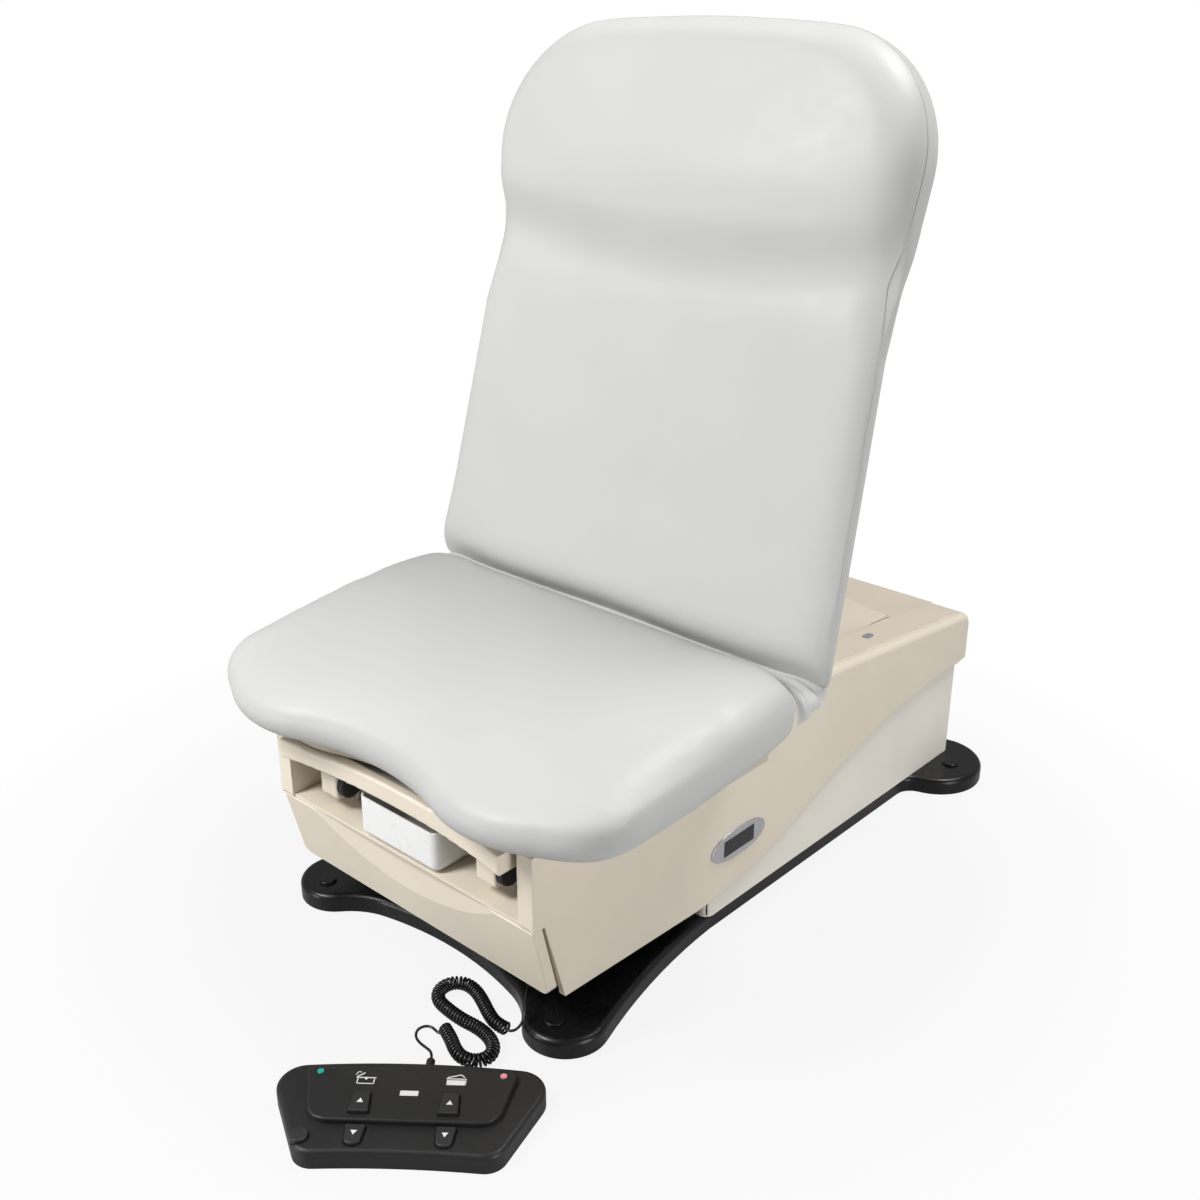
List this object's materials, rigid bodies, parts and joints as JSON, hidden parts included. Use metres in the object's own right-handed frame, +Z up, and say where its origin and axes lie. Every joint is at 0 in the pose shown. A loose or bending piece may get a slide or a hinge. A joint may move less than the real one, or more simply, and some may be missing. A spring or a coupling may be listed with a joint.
{
  "type": "examination table",
  "caption": "Powered examination table: lobed padded seat and tilting back on a telescoping lift, with drawer, leg board, pan and stirrups under the seat and a corded foot control.",
  "frame": {"origin": "middle of the table's outline at floor level, the foot control counted in", "axes": "+X to the table's left as the sitting patient faces, across the table; +Y from the foot end to the head end; +Z up"},
  "size_m": [0.813, 1.489, 1.327],
  "materials": {
    "vinyl": "smooth vinyl, soft sheen",
    "cream_plastic": "moulded, satin",
    "white_plastic": "smooth",
    "black_plastic": "moulded, satin",
    "control_plastic": "fine grain",
    "key_rubber": "matt",
    "pad_rubber": "matt",
    "cord_rubber": "satin",
    "frame_steel": "powder coat",
    "column_steel": "powder coat",
    "bright_steel": "brushed",
    "bar_chrome": "polished",
    "runner_steel": "zinc plated",
    "plywood": "sanded",
    "board_laminate": "laminate",
    "motor_paint": "painted",
    "lens_green": "clear",
    "lens_red": "clear"
  },
  "bodies": {
    "base": {"base_moulding": "black_plastic", "chassis_plate": "frame_steel", "levelling_feet": "pad_rubber", "foot_caps": "black_plastic", "base_cover": "cream_plastic", "column_front_outer": "column_steel", "column_rear_outer": "column_steel", "lift_motors": "motor_paint", "power_inlet": "black_plastic", "control_housing": "control_plastic", "control_key_pad": "control_plastic", "lens_left": "lens_green", "lens_right": "lens_red", "cord_strain_relief": "pad_rubber", "cord_socket": "black_plastic", "cord_coil": "cord_rubber", "cord_lead_control": "cord_rubber", "cord_lead_base": "cord_rubber"},
    "lift_mid": {"column_front_middle": "column_steel", "column_rear_middle": "column_steel", "mid_cover": "cream_plastic"},
    "carriage": {"column_front_inner": "column_steel", "column_rear_inner": "column_steel", "inner_cover": "cream_plastic", "carriage_plate": "frame_steel", "shroud_right": "cream_plastic", "shroud_left": "cream_plastic", "wing_lids": "cream_plastic", "rear_cowl": "cream_plastic", "bay_shelf": "frame_steel", "seat_board": "plywood", "seat_cushion": "vinyl", "hinge_brackets": "frame_steel", "back_gearmotor": "motor_paint", "drawer_guides": "runner_steel", "board_guides": "black_plastic", "pan_rails": "white_plastic", "stirrup_sleeves": "bright_steel"},
    "back": {"back_cushion": "vinyl", "headrest_cushion": "vinyl", "back_shell": "cream_plastic", "back_arms": "frame_steel", "hinge_shaft": "bright_steel"},
    "drawer": {"drawer_front": "cream_plastic", "drawer_box": "white_plastic", "drawer_runners": "runner_steel"},
    "leg_rest": {"leg_board": "board_laminate", "leg_board_bar": "cream_plastic"},
    "pan": {"treatment_pan": "white_plastic"},
    "stirrup_right": {"stirrup_bar_right": "bar_chrome", "stirrup_foot_right": "cream_plastic", "stirrup_pivot_right": "pad_rubber"},
    "stirrup_left": {"stirrup_bar_left": "bar_chrome", "stirrup_foot_left": "cream_plastic", "stirrup_pivot_left": "pad_rubber"},
    "key_back_up": {"back_up_key": "key_rubber"},
    "key_table_up": {"table_up_key": "key_rubber"},
    "key_back_down": {"back_down_key": "key_rubber"},
    "key_table_down": {"table_down_key": "key_rubber"},
    "key_home": {"home_key": "key_rubber"}
  },
  "joints": [
    {"name": "lift", "type": "slide", "parent": "base", "child": "carriage", "axis": [0, 0, 1], "range_m": [0, 0.48]},
    {"name": "lift_middle_stage", "type": "slide", "parent": "base", "child": "lift_mid", "axis": [0, 0, 1], "range_m": [0, 0.24]},
    {"name": "back_tilt", "type": "hinge", "parent": "carriage", "child": "back", "pos_m": [0, 0.07763, 0.405], "axis": [1, 0, 0], "range_deg": [-75, 5]},
    {"name": "drawer_slide", "type": "slide", "parent": "carriage", "child": "drawer", "axis": [0, -1, 0], "range_m": [0, 0.3]},
    {"name": "leg_rest_slide", "type": "slide", "parent": "carriage", "child": "leg_rest", "axis": [0, -1, 0], "range_m": [0, 0.36]},
    {"name": "pan_slide", "type": "slide", "parent": "carriage", "child": "pan", "axis": [0, -1, 0], "range_m": [0, 0.25]},
    {"name": "stirrup_right_slide", "type": "slide", "parent": "carriage", "child": "stirrup_right", "axis": [0, -1, 0], "range_m": [0, 0.27]},
    {"name": "stirrup_left_slide", "type": "slide", "parent": "carriage", "child": "stirrup_left", "axis": [0, -1, 0], "range_m": [0, 0.27]},
    {"name": "key_back_up_press", "type": "slide", "parent": "base", "child": "key_back_up", "axis": [0, 0, -1], "range_m": [0, 0.0025], "stiffness_N_per_m": 600, "springref_m": -0.0008},
    {"name": "key_table_up_press", "type": "slide", "parent": "base", "child": "key_table_up", "axis": [0, 0, -1], "range_m": [0, 0.0025], "stiffness_N_per_m": 600, "springref_m": -0.0008},
    {"name": "key_back_down_press", "type": "slide", "parent": "base", "child": "key_back_down", "axis": [0, 0, -1], "range_m": [0, 0.0025], "stiffness_N_per_m": 600, "springref_m": -0.0008},
    {"name": "key_table_down_press", "type": "slide", "parent": "base", "child": "key_table_down", "axis": [0, 0, -1], "range_m": [0, 0.0025], "stiffness_N_per_m": 600, "springref_m": -0.0008},
    {"name": "key_home_press", "type": "slide", "parent": "base", "child": "key_home", "axis": [0, 0, -1], "range_m": [0, 0.0025], "stiffness_N_per_m": 600, "springref_m": -0.0008}
  ],
  "couplings": [
    {"joint": "lift_middle_stage", "follows": "lift", "ratio": 0.5}
  ]
}
